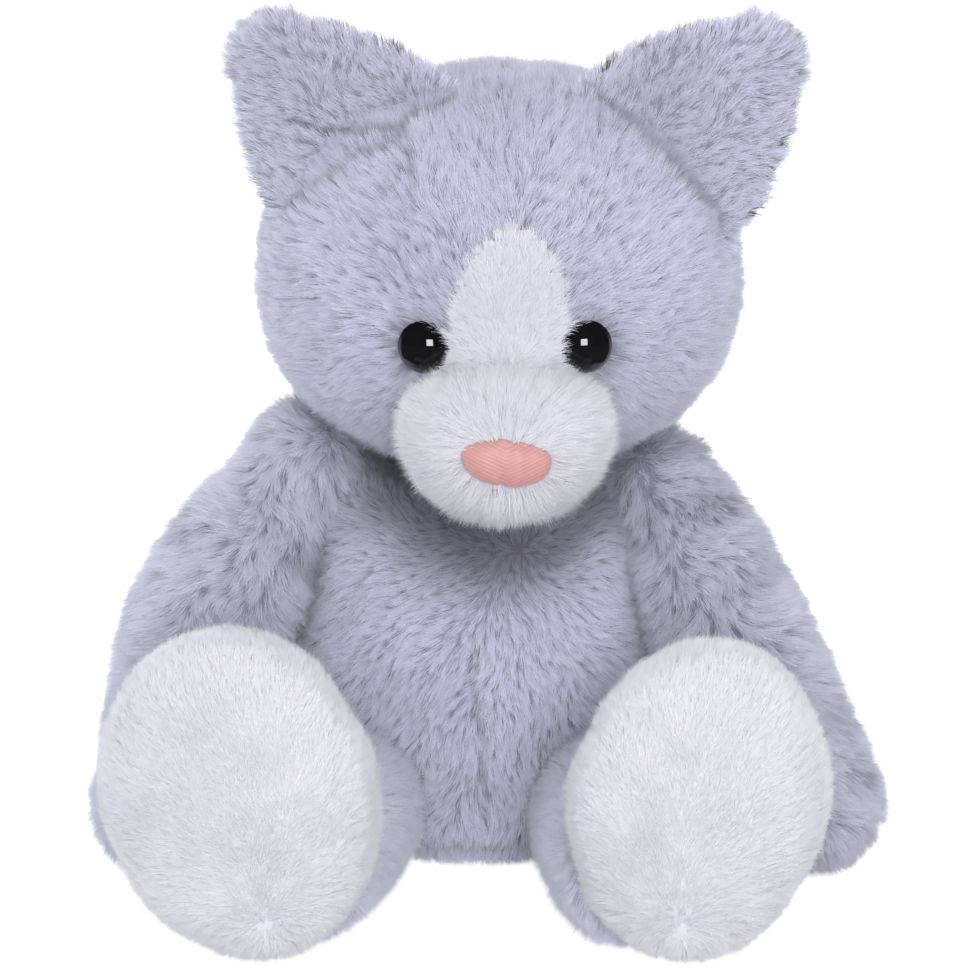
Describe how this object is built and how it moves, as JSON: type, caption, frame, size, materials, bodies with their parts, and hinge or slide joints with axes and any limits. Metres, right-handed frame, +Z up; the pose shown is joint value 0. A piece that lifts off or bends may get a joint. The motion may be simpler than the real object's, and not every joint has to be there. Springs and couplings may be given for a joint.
{
  "type": "plush cat",
  "caption": "Seated stuffed toy cat in gray plush with a white blaze, muzzle and feet, domed eyes and jointed head, arms, legs and tail.",
  "frame": {"origin": "middle of the flat underside of the base panel, on the surface that the cat sits on", "axes": "+Z up; the cat faces -Y, so its own left side is at +X"},
  "size_m": [0.2336, 0.2719, 0.2571],
  "materials": {
    "gray_plush": "matte",
    "white_plush": "matte",
    "pink_satin": "satin",
    "pink_thread": "satin",
    "black_gloss": "gloss",
    "white_washer": "matte",
    "filling": "matte",
    "pellet_bag": "matte"
  },
  "bodies": {
    "torso": {"chest_left": "gray_plush", "chest_right": "gray_plush", "back_left": "gray_plush", "back_right": "gray_plush", "base_panel": "gray_plush", "body_stuffing": "filling", "pellet_bag": "pellet_bag"},
    "neck": {"neck_stuffing": "filling"},
    "head": {"face_left": "gray_plush", "face_right": "gray_plush", "crown_gusset": "gray_plush", "blaze": "white_plush", "head_back_left": "gray_plush", "head_back_right": "gray_plush", "head_stuffing": "filling", "muzzle_left": "white_plush", "muzzle_right": "white_plush", "chin": "white_plush", "muzzle_stuffing": "filling", "nose_patch": "pink_satin", "nose_thread": "pink_thread", "eye_left": "black_gloss", "eye_right": "black_gloss", "eye_washer_left": "white_washer", "eye_washer_right": "white_washer", "ear_left_front": "gray_plush", "ear_left_back": "gray_plush", "ear_right_front": "gray_plush", "ear_right_back": "gray_plush"},
    "arm_left": {"arm_left_front": "gray_plush", "arm_left_back": "gray_plush", "arm_left_stuffing": "filling"},
    "arm_right": {"arm_right_front": "gray_plush", "arm_right_back": "gray_plush", "arm_right_stuffing": "filling"},
    "leg_left": {"leg_left_top": "gray_plush", "leg_left_under": "gray_plush", "leg_left_stuffing": "filling", "foot_left_sole": "white_plush", "foot_left_inner": "white_plush", "foot_left_outer": "white_plush", "foot_left_stuffing": "filling", "foot_left_pellets": "pellet_bag"},
    "leg_right": {"leg_right_top": "gray_plush", "leg_right_under": "gray_plush", "leg_right_stuffing": "filling", "foot_right_sole": "white_plush", "foot_right_inner": "white_plush", "foot_right_outer": "white_plush", "foot_right_stuffing": "filling", "foot_right_pellets": "pellet_bag"},
    "tail": {"tail_left": "gray_plush", "tail_right": "gray_plush", "tail_stuffing": "filling"}
  },
  "joints": [
    {"name": "neck_turn", "type": "hinge", "parent": "torso", "child": "neck", "pos_m": [0.003, -0.002, 0.133], "axis": [0, 0, 1], "range_deg": [-28, 28], "stiffness_Nm_per_rad": 0.4},
    {"name": "neck_nod", "type": "hinge", "parent": "neck", "child": "head", "pos_m": [0.003, -0.002, 0.133], "axis": [1, 0, 0], "range_deg": [-12, 8], "stiffness_Nm_per_rad": 0.5},
    {"name": "shoulder_left", "type": "hinge", "parent": "torso", "child": "arm_left", "pos_m": [0.0548, -0.005, 0.11], "axis": [-0.1583, -0.9272, 0.3395], "range_deg": [0, 80]},
    {"name": "shoulder_right", "type": "hinge", "parent": "torso", "child": "arm_right", "pos_m": [-0.0565, -0.005, 0.112], "axis": [-0.1427, 0.9455, -0.2926], "range_deg": [0, 80]},
    {"name": "hip_left", "type": "hinge", "parent": "torso", "child": "leg_left", "pos_m": [0.037, -0.034, 0.0222], "axis": [0.9956, 0.0933, 0.002], "range_deg": [-20, 45]},
    {"name": "hip_right", "type": "hinge", "parent": "torso", "child": "leg_right", "pos_m": [-0.037, -0.034, 0.0222], "axis": [0.9829, -0.1843, 0.0017], "range_deg": [-20, 45]},
    {"name": "tail_swing", "type": "hinge", "parent": "torso", "child": "tail", "pos_m": [0, 0.048, 0.0145], "axis": [0, -0.027, -0.9996], "range_deg": [-35, 35]}
  ]
}
